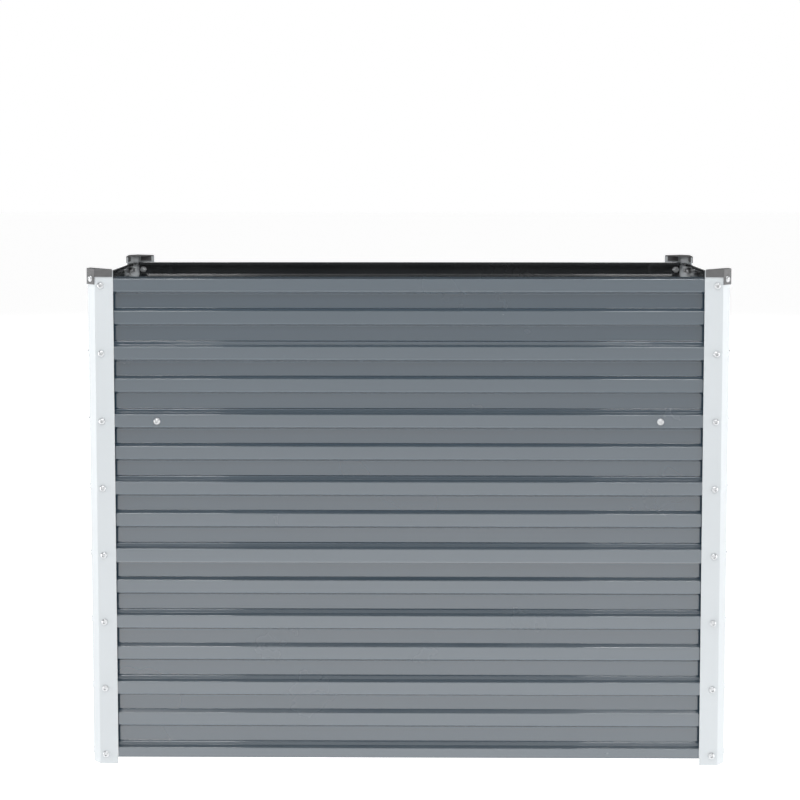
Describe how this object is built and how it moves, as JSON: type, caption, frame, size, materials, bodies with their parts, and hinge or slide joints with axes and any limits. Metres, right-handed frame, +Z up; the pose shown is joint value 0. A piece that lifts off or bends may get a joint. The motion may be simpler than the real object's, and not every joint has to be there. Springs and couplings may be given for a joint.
{
  "type": "raised garden bed",
  "caption": "Tall open-bottomed raised garden bed with corrugated sheet-metal walls, chamfered corner posts, bolted seams and plastic post caps.",
  "frame": {"origin": "on the ground, under the middle of the bed's bounding box", "axes": "+X to the right along the long walls, +Y to the back, +Z up; the front wall faces -Y"},
  "size_m": [1.0036, 0.4036, 0.7825],
  "materials": {
    "wall_paint": "satin grey paint on galvanised sheet",
    "post_paint": "satin pale grey paint on galvanised sheet",
    "cap_plastic": "fine-grained matt dark grey",
    "fastener_steel": "bright zinc plating",
    "tie_steel": "dull galvanised"
  },
  "bodies": {
    "root": {"front_panel_upper": "wall_paint", "front_panel_lower": "wall_paint", "back_panel_upper": "wall_paint", "back_panel_lower": "wall_paint", "left_panel_upper": "wall_paint", "left_panel_lower": "wall_paint", "right_panel_upper": "wall_paint", "right_panel_lower": "wall_paint", "post_front_left": "post_paint", "post_front_right": "post_paint", "post_back_left": "post_paint", "post_back_right": "post_paint", "cap_front_left": "cap_plastic", "cap_front_right": "cap_plastic", "cap_back_left": "cap_plastic", "cap_back_right": "cap_plastic", "cap_screws": "fastener_steel", "post_bolts_front_left": "fastener_steel", "post_bolts_front_right": "fastener_steel", "post_bolts_back_left": "fastener_steel", "post_bolts_back_right": "fastener_steel", "post_nuts_front_left": "fastener_steel", "post_nuts_front_right": "fastener_steel", "post_nuts_back_left": "fastener_steel", "post_nuts_back_right": "fastener_steel", "tie_bar_left": "tie_steel", "tie_bar_right": "tie_steel", "tie_bar_bolts": "fastener_steel", "tie_bar_nuts": "fastener_steel"}
  },
  "joints": []
}
